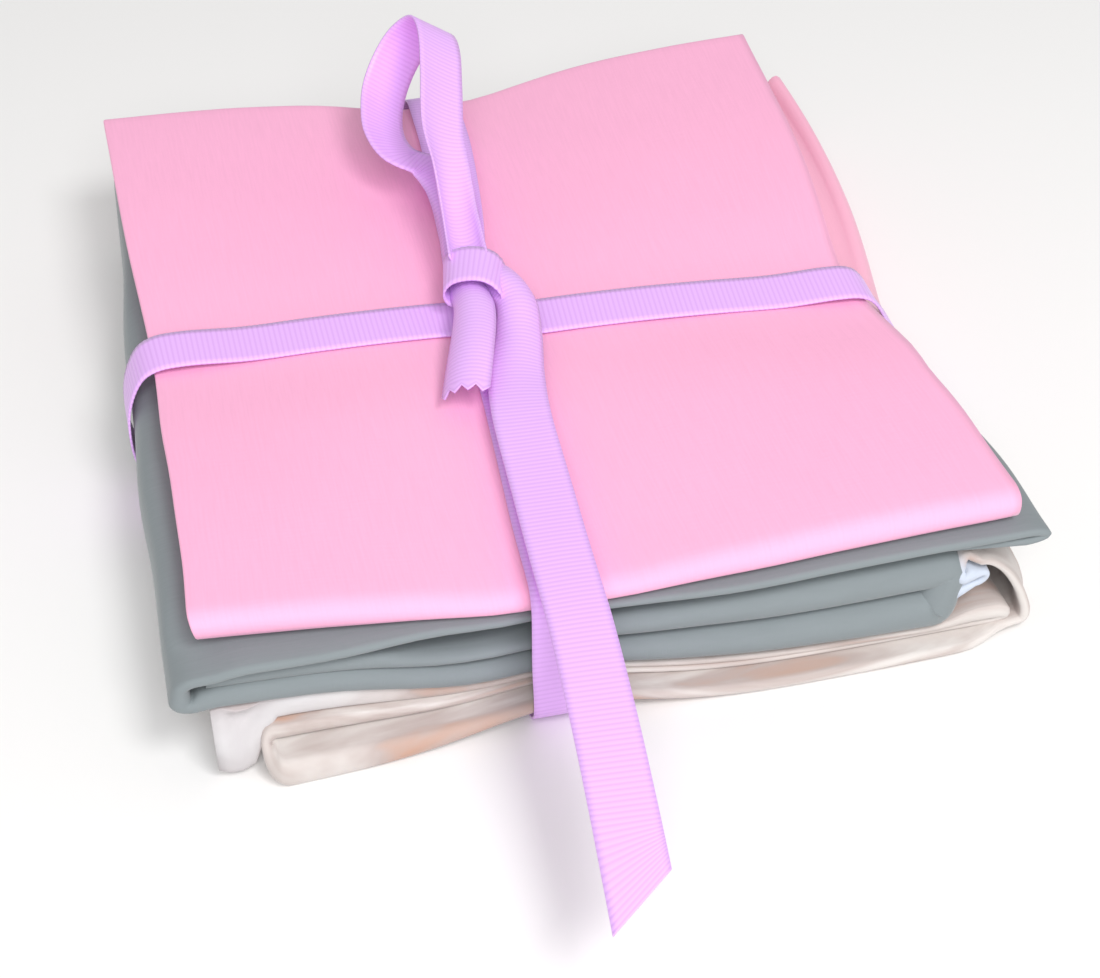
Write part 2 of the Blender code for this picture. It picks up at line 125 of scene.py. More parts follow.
# A turn joins a layer to the next: how far it bulges out, how much higher its shoulder is
# towards the "to" edge, its power, which makes it squarer when low, and its steps.
TURN_COLUMNS = ("bulge", "shoulder", "power", "steps")

# Bows say how far the middle of an edge lies from the straight line between its corners.
# The pink cloth is folded front to back: near is the front, far the back, a the left side and
# b the right.
PINK_LAYERS = (
    (28.1, 28.1, 0.75, 0.8, -69.0, -71.0, 75.0, 77.0, -66.2, -67.0, 67.2, 67.4),
    (30.1, 30.1, 0.75, 0.8, -69.6, -72.6, 75.0, 77.0, -67.2, -67.4, 67.7, 67.8),
    (25.95, 25.95, 0.8, 0.9, -69.6, -72.6, 74.0, 76.2, -66.1, -67.0, 67.4, 67.4),
)
PINK_TURNS = ((1.3, 0.0, 1.0, 8), (2.8, 0.0, 0.85, 14))
PINK_BOWS = {"near": -2.5, "far": -2.0, "to": -2.2}
# The other two are folded side to side, with straight edges: near is the left, far the
# right, a the front and b the back.
STRAIGHT = {"near": 0.0, "far": 0.0, "to": 0.0}
GREY_LAYERS = (
    (21.8, 22.0, 0.5, 0.7, -61.0, -60.0, 68.4, 60.0, -60.0, -77.7, 74.0, 72.5),
    (23.7, 24.0, 0.8, 0.65, -64.5, -60.0, 68.4, 60.0, -78.2, -77.9, 73.5, 73.0),
    (10.8, 8.7, 2.1, 3.9, -64.5, -60.0, 54.0, 53.0, -75.3, -75.0, 75.0, 73.0),
    (17.4, 16.4, 1.0, 3.4, -66.0, -58.0, 56.0, 53.5, -75.6, -74.6, 74.0, 72.0),
)
GREY_TURNS = ((3.6, 0.0, 1.1, 10), (6.0, 0.0, 0.6, 18), (0.5, 0.0, 0.5, 16))
MARBLED_LAYERS = (
    (11.8, 12.6, 1.4, 0.5, 57.4, 62.0, 61.2, 68.0, -76.4, -76.2, 72.0, 72.0),
    (15.4, 15.2, 1.7, 0.5, 58.8, 62.0, 62.2, 68.0, -76.4, -76.6, 73.0, 73.0),
    (18.9, 17.6, 0.7, 0.5, 59.8, 62.0, 62.2, 71.5, -75.6, -76.6, 76.0, 75.5),
    (1.7, 1.1, 1.4, 0.85, -55.5, -57.0, 71.5, 70.7, -81.8, -78.9, 75.0, 77.0),
    (4.2, 2.8, 0.6, 0.4, -56.5, -57.0, 66.0, 64.0, -77.4, -75.8, 74.0, 75.0),
    (5.8, 3.9, 0.7, 0.45, -66.0, -64.0, 66.0, 64.0, -75.6, -76.6, 74.0, 75.0),
)
MARBLED_TURNS = (
    (1.2, 0.0, 1.0, 8), (1.2, 0.0, 1.0, 8), (4.0, 4.0, 0.9, 22), (1.8, 0.0, 0.8, 12),
    (2.2, 0.0, 0.9, 10),
)

# How much closer together the points of a cloth are near its folds.
END_FINENESS = 0.07
# How far the last ply ends from the fold it lies in, as a part of the ply.
TUCK = 0.03
# How many steps the fold between two plies has, and how wide one is that needs more.
PLY_TURN_STEPS = 6
WIDE_TURN_STEPS = 10
WIDE_TURN = 0.6

# The levels of a layer's plies as parts of its pad, in the order in which the cloth passes.
PINK_PLIES = (-0.9, -0.3, 0.3, 0.9)
THREE_PLIES = (-1.0, 1.0, 0.0)

# Soft troughs and ridges: the layer, the middle and the reach of each, how far it moves the
# cloth there, and how far it opens the plies.
CREASE_COLUMNS = (
    "layer", "x", "y", "z", "reach_x", "reach_y", "reach_z", "dx", "dy", "dz", "open",
)


def crease_through(layers, *crease):
    """The same crease in each of these layers."""
    return [(layer, *crease) for layer in layers]


PINK_CREASES = (
    *crease_through((0, 1, 2), -67.0, -48.0, 28.0, 14.0, 20.0, 30.0, 0.8, 0.0, 0.0, 0.0),
    *crease_through((0, 1, 2), 66.0, -25.5, 28.0, 20.0, 12.0, 30.0, 1.3, 0.0, 0.0, 0.0),
    *crease_through((0, 1, 2), 66.0, -37.0, 28.0, 20.0, 22.0, 30.0, 1.2, 0.0, 0.0, 0.0),
)
GREY_CREASES = (
    *crease_through((0, 1), 68.0, -44.0, 23.0, 16.0, 27.0, 30.0, 2.4, 0.0, 0.0, 0.0),
    (1.0, -68.0, -4.0, 23.0, 20.0, 36.0, 30.0, -2.6, 0.0, 0.0, 0.0),
    (2.0, -68.0, -4.0, 11.0, 20.0, 36.0, 30.0, -2.4, 0.0, 0.0, 0.0),
    (1.0, -15.0, -79.0, 24.0, 25.0, 12.0, 30.0, 0.0, 1.9, 0.4, 0.0),
    (1.3, -73.0, -79.0, 23.0, 10.0, 12.0, 9.0, 0.4, 0.8, -2.6, 0.0),
    (2.0, -64.0, -77.0, 11.0, 34.0, 60.0, 30.0, 0.0, 0.0, 5.9, 0.0),
    (3.0, -66.0, -77.0, 17.0, 34.0, 60.0, 30.0, 0.0, 0.0, 2.7, 0.2),
    (3.0, -21.0, -77.0, 17.0, 15.0, 40.0, 30.0, 0.0, 0.0, -1.3, -0.5),
    (3.0, 18.0, -77.0, 17.0, 26.0, 40.0, 30.0, 0.0, 0.0, -0.2, 0.4),
)
MARBLED_CREASES = (
    (2.0, 70.0, 28.0, 17.0, 26.0, 58.0, 30.0, 2.4, 0.0, 0.0, 0.0),
    (3.0, 72.0, 28.0, 2.0, 26.0, 58.0, 30.0, 2.4, 0.0, 0.0, 0.0),
    (2.6, 74.0, -80.0, 10.0, 12.0, 7.0, 30.0, -1.4, 1.0, 0.0, 0.0),
    (3.0, -66.0, -77.0, 2.0, 39.0, 60.0, 30.0, 0.0, 0.0, 1.4, 1.5),
    (3.0, 77.0, -80.0, 2.0, 12.0, 12.0, 30.0, -0.5, 2.4, 1.0, -0.2),
    (4.0, -66.0, -77.0, 4.0, 39.0, 60.0, 30.0, 0.0, 0.0, 3.9, 0.7),
    (5.0, -66.0, -77.0, 6.0, 39.0, 60.0, 30.0, 0.0, 0.0, 6.4, 1.4),
    (5.0, -63.2, -77.0, 6.0, 5.2, 9.0, 30.0, 0.0, -2.6, -4.4, 4.2),
    (5.0, -65.8, -77.0, 6.45, 1.7, 5.0, 0.3, 0.0, 1.7, 0.0, 0.0),
    (5.0, -63.6, -77.0, 6.25, 1.7, 5.0, 0.3, 0.0, 2.0, 0.0, 0.0),
    (5.0, -61.4, -77.0, 6.05, 1.7, 5.0, 0.3, 0.0, 2.2, 0.0, 0.0),
    (5.0, -59.4, -77.0, 5.9, 1.7, 5.0, 0.5, 0.0, 2.0, 0.0, 0.0),
    (5.0, 66.0, -77.0, 6.0, 8.0, 20.0, 30.0, 0.0, 0.0, 1.6, 0.9),
)

# Where a cloth is tinted: the attribute that holds it, the layer, the axis it changes along,
# the place where it starts, the place where it is full, and how full it gets. The spread is
# how far it reaches into the turns next to its layer.
TINT_COLUMNS = ("name", "layer", "axis", "start", "full", "most")
TINT_SPREAD = 1.6
MARBLED_TINTS = (
    ("pale", 0.0, 0, 50.0, 55.0, 1.0),
    ("pale", 1.0, 0, 50.0, 55.0, 1.0),
    ("pale", 5.0, 0, -30.0, -54.0, 0.3),
    ("blush", 2.0, 1, -30.0, 10.0, 1.0),
    ("blush", 2.7, 1, -30.0, 10.0, 1.0),
)

# The lengths of the cloths' soft waves sideways, front to back and up, and of the smaller
# waves in them. The shifts keep the three directions that a wave moves the cloth in apart.
# The strengths are parts of the wave's height, and below the resting height a wave fades.
SLOW_WAVES = (38.0, 52.0, 30.0)
QUICK_WAVES = (15.0, 19.0)
QUICK_SHIFT = 5.0
WAVE_SHIFTS = (9.3, 17.7, 31.1)
WAVE_SIDEWAYS = 1.4
WAVE_UPWARDS = 0.9
QUICK_UPWARDS = 0.35
RESTING_HEIGHT = 8.0

# Cotton and polyester bend light about alike. Cotton is dull, with a soft fuzz at grazing
# angles.
FIBRE_IOR = 1.5
SHEEN_ROUGHNESS = 0.4
COTTON_ROUGHNESS = 0.85
COTTON_SHEEN = 0.22
# Quilting cotton has about three threads to a millimetre. Its weave is drawn coarser, at two,
# so that it shows in the render. A thread's unevenness is stretched along it.
WEAVE_PITCH = 0.5
THREAD_STRETCH = 0.12
THREAD_HEIGHT = 0.1
DYED_WEAVE = 0.25
PRINTED_WEAVE = 0.2
# Slubs, the thicker stretches of a thread, are a shade darker. The stops say how the noise
# that lays them turns into slubs and plain thread.
SLUB_LENGTH = 8.333
SLUB_WIDTH = 0.4545
SLUB_SHADE = 0.955
SLUB_STOPS = (0.3, 0.7)
# The marbling's veins run along the cloth. The shift moves them across it, the curl bends
# them, and the stops are the places of its three colours in the noise.
VEIN_LENGTH = 71.4
VEIN_WIDTH = 11.76
VEIN_SHIFT = 3.0
VEIN_CURL = 1.6
VEIN_STOPS = (0.3, 0.44, 0.6)

# Grosgrain has a low silky shine. Between two ribs it is thinner than at a rib, and the shade
# painted into the groove between them ends at this height of the rib, where -1 is the groove
# and 1 the top.
GROSGRAIN_ROUGHNESS = 0.45
GROSGRAIN_SHEEN = 0.15
GROOVE_THICKNESS = 0.74
GROOVE_SHADE_EDGE = 0.2

# How finely the ribbon is drawn: points to a rib and across it, the steps in which a route is
# read, and the least cup that is drawn as one.
RIB_STEPS = 4
ACROSS_STEPS = 8
ROUTE_STEP = 1.0
LEAST_CUP = 0.02

# The ribbon's cut ends: how far the frayed one's teeth stand out and in, as parts of the
# fray, and how long and how deep the slanted one's cut is.
FRAY_LENGTH = 1.8
TOOTH_OUT = 0.7
TOOTH_IN = -0.1
SLANT_LENGTH = 14.0
LONG_TAIL_SLANT = 4.5

# Where the photograph was taken from, its azimuth from the front, height and roll in degrees,
# the lens for this width of film, and how close to the camera a thing is still drawn.
CAMERA_AT = (-67.9, -322.0, 267.9)
CAMERA_TURN = (-13.03, 41.0, -0.54)
CAMERA_LENS = 72.61
FILM_WIDTH = 36.0
NEAREST_SEEN = 10.0

# The studio, in metres and watts: each light's name, place, size and power, the point that
# they face, the strength of the white room, and the floor.
LIGHTS = (("key", (0.2, -0.56, 0.82), 0.3, 3.7), ("fill", (-0.12, -0.95, 0.86), 0.7, 8.8))
LIGHTS_FACE = (0.0, 0.0, 0.02)
ROOM_STRENGTH = 0.46
FLOOR_HALF = 4.0
FLOOR_ROUGHNESS = 0.9
FLOOR_COLOUR = "#F4F3F2"

# Routes of the ribbon: a point on its middle and, where it is turned or gathered, the
# direction of its width, and how far it is cupped, in radians each way.
LEFT_SIDE = (
    (-60.0, -3.4, 30.2), (-65.9, -3.6, 29.9), (-69.2, -4.0, 27.4), (-71.5, -4.8, 21.5),
    (-71.6, -6.2, 14.0), (-69.2, -7.8, 8.0), (-65.6, -9.2, 3.2), (-62.0, -9.9, 1.0),
)
RIGHT_SIDE = (
    (57.0, -10.8, 29.1), (61.9, -11.1, 28.7), (64.6, -11.2, 26.6), (67.2, -11.1, 22.0),
    (71.0, -10.8, 16.0), (73.6, -10.5, 10.0), (72.5, -10.1, 4.5), (68.5, -10.0, 1.1),
)
FRONT_SIDE = (
    (-9.0, -70.0, 27.3), (-9.2, -74.6, 27.0), (-9.5, -77.7, 24.8), (-9.8, -79.0, 20.0),
    (-10.0, -79.8, 14.0), (-10.0, -80.5, 8.5), (-10.0, -80.2, 4.0), (-10.0, -77.2, 1.1),
    (-10.0, -71.0, 0.6),
)
BACK_SIDE = (
    (-1.2, 67.0, 28.0), (-1.1, 72.7, 27.8), (-1.3, 76.2, 25.4), (-2.2, 77.4, 20.0),
    (-4.0, 77.5, 13.5), (-6.5, 77.3, 8.0), (-8.2, 76.4, 3.6), (-9.4, 73.0, 1.2),
    (-10.0, 66.0, 0.6),
)
LEFT_OF_KNOT_X = (-6.0, -13.3, -25.0, -37.0, -49.0)
RIGHT_OF_KNOT_X = (47.0, 35.0, 23.0, 11.0, 0.4, -6.0)
FRONT_OF_KNOT_Y = (-60.0, -46.0, -34.0, -22.0)
UNDER_KNOT_Y = (-11.5, 0.0)
BACK_OF_KNOT = ((-7.0, 4.0), (-6.4, 12.6), (-5.0, 24.0), (-3.4, 38.0), (-1.7, 54.0))
GATHERED_CUPS = (1.3, 1.2, 0.8, 0.4, 0.1)
UNDERSIDE_PLACES_X = (-50.0, -30.0, -19.0, -15.5, -10.0, -4.5, -1.0, 20.0, 40.0, 58.0)
UNDERSIDE_PLACES_Y = (52.0, 30.0, 10.0, -10.0, -30.0, -56.0)
CROSSING_X = (-15.5, -10.0, -4.5)

# Heights of the ribbon: over the pressed top and over its own crossing there, over what the
# bundle lies on, and over its crossing on the underside.
TOP_RISE = 0.55
TOP_CROSSING_RISE = 1.25
UNDERSIDE_RISE = 0.35
UNDERSIDE_CROSSING_RISE = 1.9

LOOP_ROUTE = (
    (-7.8, 3.0, 34.6, 0.6, 0.0, -0.06, 1.4), (-7.4, 10.0, 35.8, 0.55, 0.0, -0.06, 1.5),
    (-7.6, 17.0, 37.9, 0.54, 0.03, -0.2, 1.4),
    (-7.4, 24.0, 41.6, 0.6, 0.08, -0.38, 1.0), (-6.6, 32.0, 45.6, 0.78, 0.1, -0.52, 0.45),
    (-4.4, 42.0, 49.9, 0.8, 0.106, -0.587, 0.2), (-2.9, 50.0, 53.0, 0.8, 0.106, -0.587, 0.1),
    (-2.8, 55.6, 54.0, 0.8, 0.106, -0.587, 0.0), (-4.4, 58.8, 52.3, 0.8, 0.106, -0.587, 0.0),
    (-7.4, 60.4, 48.6, 0.8, 0.106, -0.587, 0.0), (-10.6, 59.2, 44.4, 0.8, 0.106, -0.587, 0.0),
    (-13.3, 55.6, 40.8, 0.8, 0.106, -0.587, 0.0), (-14.8, 50.0, 38.7, 0.8, 0.15, -0.55, 0.0),
    (-14.9, 44.0, 37.6, 0.84, 0.25, -0.46, 0.0), (-12.9, 38.4, 36.9, 0.8, 0.5, -0.3, 0.0),
    (-8.2, 34.8, 36.2, 0.7, 0.62, -0.2, 0.2), (-5.6, 28.6, 35.4, 0.7, 0.25, -0.15, 0.7),
    (-5.6, 20.0, 34.2, 0.58, 0.0, -0.1, 1.2), (-6.6, 12.0, 33.4, 0.55, 0.0, -0.06, 1.3),
    (-7.4, 3.0, 32.8, 0.6, 0.0, -0.06, 1.1),
)
SHORT_TAIL_ROUTE = (
    (-8.2, 1.0, 34.2, 0.6, -0.1, 0.0, 1.5), (-9.0, -6.5, 35.9, 0.62, -0.15, 0.1, 1.4),
    (-10.8, -14.0, 36.0, 0.7, -0.2, 0.22, 1.15), (-13.1, -22.0, 35.6, 0.74, -0.24, 0.28, 0.95),
    (-15.8, -31.0, 34.5, 0.76, -0.26, 0.3, 0.85),
)
LONG_TAIL_ROUTE = (
    (-3.6, 5.0, 33.6, 0.5, 0.1, 0.0, 1.4), (-2.0, -1.5, 35.2, 0.5, 0.1, 0.0, 1.4),
    (-1.2, -8.0, 34.6, 0.66, 0.05, 0.05, 1.3), (-2.6, -15.5, 33.2, 0.8, 0.0, 0.05, 1.0),
    (-5.2, -26.0, 32.3, 1.0, 0.0, 0.0, 0.4), (-7.0, -38.0, 32.3, 1.0, 0.0, 0.0, 0.0),
    (-7.8, -54.0, 32.0, 1.0, 0.0, 0.0, 0.0), (-8.6, -72.0, 31.8, 1.0, 0.0, 0.0, 0.05),
    (-9.1, -88.0, 31.0, 1.0, 0.0, 0.0, 0.05), (-10.1, -106.0, 28.8, 1.0, 0.0, 0.0, 0.0),
    (-11.0, -120.0, 26.2, 1.0, 0.0, 0.0, 0.0), (-12.1, -135.5, 22.8, 1.0, 0.0, 0.0, 0.0),
)
WRAP_ROUTE = (
    (-8.0, 0.8, 31.2, 0.2, 1.0, 0.0, 0.0), (-11.0, 1.0, 31.3, 0.2, 1.0, 0.0, 0.0),
    (-12.2, 1.2, 32.6, 0.2, 1.0, 0.0, 0.0), (-12.3, 1.1, 34.6, 0.2, 1.0, 0.0, 0.0),
    (-11.0, 0.7, 36.4, 0.2, 1.0, 0.0, 0.0), (-8.5, 0.0, 37.3, 0.2, 1.0, 0.0, 0.0),
    (-5.8, -0.8, 37.3, 0.22, 1.0, 0.0, 0.0), (-3.6, -1.6, 36.2, 0.25, 1.0, 0.0, 0.0),
    (-2.3, -2.2, 34.2, 0.25, 1.0, 0.0, 0.0), (-2.4, -2.4, 32.0, 0.25, 1.0, 0.0, 0.0),
)


def linear(colour):
    """A hex sRGB colour as linear red, green, blue and alpha."""
    parts = [int(colour[i : i + 2], 16) / 255 for i in (1, 3, 5)]
    low = [part / 12.92 for part in parts]
    high = [((part + 0.055) / 1.055) ** 2.4 for part in parts]
    return (*[b if part > 0.04045 else a for part, a, b in zip(parts, low, high)], 1.0)


def colour_property(name, description, colour):
    """A colour that the user can change."""
    return bpy.props.FloatVectorProperty(
        name=name, description=description, subtype="COLOR", size=4, min=0.0, max=1.0,
        default=linear(colour),
    )


def size_property(name, description, default, least, most):
    """A length that the user can change, given here in millimetres."""
    return bpy.props.FloatProperty(
        name=name, description=description, default=default * MM, min=least * MM,
        max=most * MM, precision=5, unit="LENGTH",
    )


class ClothSettings(bpy.types.PropertyGroup):
    """Sizes and colours of the cotton."""

    thickness: size_property("Thickness", "Thickness of one ply", 0.26, 0.1, 1.0)
    grid_step: size_property(
        "Grid step", "Distance between the points of a cloth", 3.3, 2.0, 10.0
    )
    width: size_property("Cut width", "Shorter side of a fat quarter", 460.0, 400.0, 600.0)
    length: size_property("Cut length", "Longer side of a fat quarter", 560.0, 400.0, 700.0)
    wave: size_property("Wave", "Height of the cloth's slow unevenness", 0.45, 0.0, 2.0)
    pink: colour_property("Pink", "Dye of the top cloth", "#FCB4D6")
    grey: colour_property("Grey", "Dye of the middle cloth", "#848C8F")
    print_cream: colour_property("Print cream", "Palest colour of the print", "#D8D2CE")
    print_sand: colour_property("Print sand", "Middle colour of the print", "#BBADA8")
    print_peach: colour_property("Print peach", "Deepest colour of the print", "#C39B86")
    print_blush: colour_property("Print blush", "Pink towards the print's edge", "#F6B6CE")
    reverse: colour_property("Reverse", "Unprinted side of the bottom cloth", "#C4CCDA")


class RibbonSettings(bpy.types.PropertyGroup):
    """Sizes and colours of the grosgrain ribbon."""

    width: size_property("Width", "Width of the ribbon", 10.0, 5.0, 25.0)
    thickness: size_property("Thickness", "Thickness of the ribbon at a rib", 0.42, 0.1, 1.0)
    rib_pitch: size_property("Rib pitch", "Distance from rib to rib", 0.92, 0.5, 3.0)
    # The groove colour is a darker copy of the rib colour: painted shade, for the shade that
    # falls between two ribs.
    rib: colour_property("Rib", "Colour on the ribs", "#E9B8FB")
    groove: colour_property("Groove", "Colour between the ribs", "#E0ADF3")


def mix(start, end, part):
    """The value this part of the way from start to end."""
    return start + (end - start) * part


def soft_step(value):
    """0 below 0, 1 above 1 and a smooth rise between."""
    value = min(max(value, 0.0), 1.0)
    return value * value * (3.0 - 2.0 * value)


def bump(distance, spread):
    """1 at no distance, falling softly to 0 past this spread."""
    return math.exp(-((distance / spread) ** 2))


def plateau(distance, reach):
    """1 near the middle, falling to 0 round about this reach."""
    return math.exp(-((distance / reach) ** 4))


def valley(distance):
    """The hollow that a taut ribbon presses: 1 under its width, soft slopes on each side."""
    beyond = max(abs(distance) - VALLEY_FLOOR, 0.0)
    return mix(bump(beyond, VALLEY_NARROW), bump(beyond, VALLEY_WIDE), WIDE_SHARE)


def groove(distance):
    """The sharper groove in the underside."""
    return 1.0 - soft_step((abs(distance) - GROOVE_HALF) / GROOVE_FLANK)


def lengthways_x(y):
    """Where the front-to-back ribbon lies on top of the stack."""
    return KNOT_X + LENGTHWAYS_SLOPE * y


def crossways_y(x):
    """Where the side-to-side ribbon lies on top. Its two halves leave the knot apart."""
    right = RIGHT_HALF_Y + RIGHT_HALF_SLOPE * x
    return mix(LEFT_HALF_Y, right, soft_step(1.0 + x / KNOT_LENGTH))


def sink(x, y):
    """How far the top is pressed down."""
    end = SINK_FRONT if y < 0 else SINK_BACK
    side = SINK_LEFT if x < 0 else SINK_RIGHT
    lengthways = mix(SINK_MIDDLE, end, min((y / HALF_DEPTH) ** 2, 1.0))
    crossways = mix(SINK_MIDDLE, side, min((x / HALF_WIDTH) ** 2, 1.0))
    return math.hypot(
        lengthways * valley(x - lengthways_x(y)), crossways * valley(y - crossways_y(x))
    )


def lift(x, y):
    """How far the underside is raised: in the grooves, and where the ribbon turns up."""
    end = LIFT_FRONT if y < 0 else LIFT_BACK
    grooves = GROOVE_DEPTH * (groove(x - UNDERSIDE_X) + groove(y - UNDERSIDE_Y))
    near_end = soft_step(1.0 + (abs(y) - RIBBON_END_Y) / LIFT_RUN)
    near_side = soft_step(1.0 + (abs(x) - RIBBON_END_X) / LIFT_RUN)
    ends = end * bump(x - UNDERSIDE_X, LIFT_SPREAD) * near_end
    sides = LIFT_SIDES * bump(y - UNDERSIDE_Y, LIFT_SPREAD) * near_side
    return max(grooves, ends + sides)


def fullness(x, y):
    """How much of its height the stack keeps."""
    return (STACK_HEIGHT - sink(x, y) - lift(x, y)) / STACK_HEIGHT


def pressed(x, y, z):
    """A point of the untied stack, moved to where the ribbon presses it."""
    side = DRAWN_LEFT if x < 0 else DRAWN_RIGHT
    end = mix(DRAWN_FRONT_BOTTOM, DRAWN_FRONT, z / STACK_HEIGHT) if y < 0 else DRAWN_BACK
    part_x = soft_step((abs(x) - UNMOVED_X) / (HALF_WIDTH - UNMOVED_X))
    part_y = soft_step((abs(y) - UNMOVED_Y) / (HALF_DEPTH - UNMOVED_Y))
    inward_x = side * part_x * bump(y - crossways_y(x), DRAWN_SPREAD_SIDES)
    inward_y = end * part_y * bump(x - lengthways_x(y), DRAWN_SPREAD_ENDS)
    return Vector(
        (
            x - math.copysign(inward_x, x),
            y - math.copysign(inward_y, y),
            lift(x, y) + z * fullness(x, y),
        )
    )


def top_of_stack(x, y):
    """The height of the pressed top."""
    return STACK_HEIGHT - sink(x, y)


def bow(part):
    """0 at both ends of an edge and 1 at its middle."""
    return 4.0 * part * (1.0 - part)


def on_layer(layer, bows, part, part_across):
    """Place along the fold, height, both edges across and the pad, at a part of a layer."""
    near = mix(layer["near_a"], layer["near_b"], part_across) + bows["near"] * bow(part_across)
    far = mix(layer["far_b"], layer["far_a"], (1.0 - part_across) ** 2)
    far += bows["far"] * bow(part_across)
    return np.array(
        (
            mix(near, far, part),
            mix(layer["z_near"], layer["z_far"], part),
            mix(layer["from_near"], layer["from_far"], part),
            mix(layer["to_near"], layer["to_far"], part) + bows["to"] * bow(part),
            mix(layer["pad_near"], layer["pad_far"], part),
        )
    )


def spread_parts(count):
    """Parts from 0 to 1, closer together near both ends, where a cloth is folded."""
    parts = [place / count for place in range(count + 1)]
    return [part - END_FINENESS * math.sin(2 * math.pi * part) for part in parts]


def route_stations(layers, turns, step):
    """Rows along the folded strip: the layer, the part of it from near to far, and the angle
    of a turn that starts there, or None."""
    stations = []
    for number, layer in enumerate(layers):
        forwards = number % 2 == 0
        count = max(2, round((layer["far_b"] - layer["near_b"]) / step))
        parts = spread_parts(count)
        stations += [(number, part, None) for part in (parts if forwards else parts[::-1])]
        if number < len(turns):
            steps = turns[number]["steps"]
            end = 1.0 if forwards else 0.0
            stations += [(number, end, math.pi * turn / steps) for turn in range(1, steps)]
    return stations


def ply_stations(levels, step, depth):
    """Columns across the strip: the part across, the level in the pad, and how far the turn
    between two plies stands out in pads. The last ply ends a little before the edge."""
    count = round(depth / step)
    columns = []
    ends = (1.0, 0.0)
    for number, level in enumerate(levels):
        start, end = ends if number % 2 == 0 else ends[::-1]
        last = number == len(levels) - 1
        stop = mix(end, start, TUCK) if last else end
        columns += [(mix(start, stop, part), level, 0.0) for part in spread_parts(count)]
        if not last:
            radius = (levels[number + 1] - level) / 2
            steps = WIDE_TURN_STEPS if abs(radius) > WIDE_TURN else PLY_TURN_STEPS
            for turn in range(1, steps):
                angle = math.pi * turn / steps
                out = abs(radius) * math.sin(angle) * (1.0 if end else -1.0)
                columns.append((end, level + radius * (1.0 - math.cos(angle)), out))
    return columns


def strip_row(cloth, station, part_across):
    """The middle of the strip at a row, in the terms of on_layer."""
    number, part, angle = station
    layers, bows = cloth["layers"], cloth["bows"]
    here = on_layer(layers[number], bows, part, part_across)
    if angle is None:
        return here
    turn = cloth["turns"][number]
    there = on_layer(layers[number + 1], bows, part, part_across)
    power = turn["power"]
    down = math.copysign(abs(math.cos(angle)) ** power, math.cos(angle))
    point = mix(here, there, (1.0 - down) / 2)
    way = 1.0 if part > 0.5 else -1.0
    point[0] += way * turn["bulge"] * math.sin(angle) ** power
    point[1] += turn["shoulder"] * part_across**2 * max(math.sin(2.0 * angle), 0.0)
    return point


def creased(point, creases, position, level):
    """The point, moved by the creases of its layer."""
    start = point
    for crease in creases:
        share = max(0.0, 1.0 - abs(position - crease["layer"]))
        if share == 0.0:
            continue
        for axis, name in enumerate("xyz"):
            share *= plateau(start[axis] - crease[name], crease["reach_" + name])
        opened = crease["dz"] + crease["open"] * level
        point = point + Vector((crease["dx"], crease["dy"], opened)) * share
    return point


def waved(point, height):
    """The point, moved by the cloth's slow unevenness. It is flat where it rests."""
    spot = Vector([place / length for place, length in zip(point, SLOW_WAVES)])
    slow = [noise.noise(spot + Vector((shift, shift, shift))) for shift in WAVE_SHIFTS]
    quick = noise.noise(
        Vector((point.x / QUICK_WAVES[0], point.y / QUICK_WAVES[1], QUICK_SHIFT))
    )
    share = min(point.z / RESTING_HEIGHT, 1.0)
    upward = slow[2] * WAVE_UPWARDS + quick * QUICK_UPWARDS
    move = Vector((slow[0] * WAVE_SIDEWAYS, slow[1] * WAVE_SIDEWAYS, upward))
    return point + move * height * share


def named_rows(columns, rows):
    """Each row of a table, under its columns' names."""
    return [dict(zip(columns, row)) for row in rows]


def lengths_along(points):
    """How far along a line each of its points lies."""
    steps = np.linalg.norm(np.diff(points, axis=0), axis=1)
    return np.concatenate([[0.0], np.cumsum(steps)])


def sheet_grid(rows, columns):
    """A flat grid of this many points each way, and each vertex's row and column."""
    work = bmesh.new()
    bmesh.ops.create_grid(work, x_segments=rows - 1, y_segments=columns - 1, size=1.0)
    work.verts.ensure_lookup_table()
    places = []
    for vertex in work.verts:
        row = round((vertex.co.x + 1) / 2 * (rows - 1))
        column = round((vertex.co.y + 1) / 2 * (columns - 1))
        places.append((row, column))
    return work, places


def finished_piece(name, work, uvs, materials, replaced):
    """A mesh object from a bmesh, with its UV map in millimetres of flat cloth."""
    layer = work.loops.layers.uv.new("flat")
    for face in work.faces:
        for loop in face.loops:
            loop[layer].uv = uvs[loop.vert.index]
    mesh = bpy.data.meshes.new(name)
    work.to_mesh(mesh)
    work.free()
    for material in materials:
        mesh.materials.append(material)
    mesh.shade_smooth()
    made = bpy.data.objects.new(name, mesh)
    bpy.context.scene.collection.objects.link(made)
    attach(made, BODY)
    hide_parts(replaced)
    return made


def thicken(made, thickness, group=None, back_material=False):
    """Gives a sheet its thickness, half to each side."""
    solidify = made.modifiers.new("Thickness", "SOLIDIFY")
    solidify.thickness = thickness
    solidify.offset = 0.0
    if group:
        solidify.vertex_group = group
        solidify.thickness_vertex_group = GROOVE_THICKNESS
    if back_material:
        solidify.material_offset = 1


def tint_share(tint, position, point):
    """How much of a tint a point of the cloth has."""
    near = max(0.0, 1.0 - abs(position - tint["layer"]))
    along = (point[tint["axis"]] - tint["start"]) / (tint["full"] - tint["start"])
    return tint["most"] * soft_step(along) * soft_step(near * TINT_SPREAD)


def untied_fold(rows, turns, bows, crossed):
    """How a cloth is folded: its layers, the turns between them and how its edges bow.
    Crossed is folded front to back, and otherwise side to side."""
    return {
        "layers": named_rows(LAYER_COLUMNS, rows),
        "turns": named_rows(TURN_COLUMNS, turns),
        "bows": bows,
        "crossed": crossed,
    }


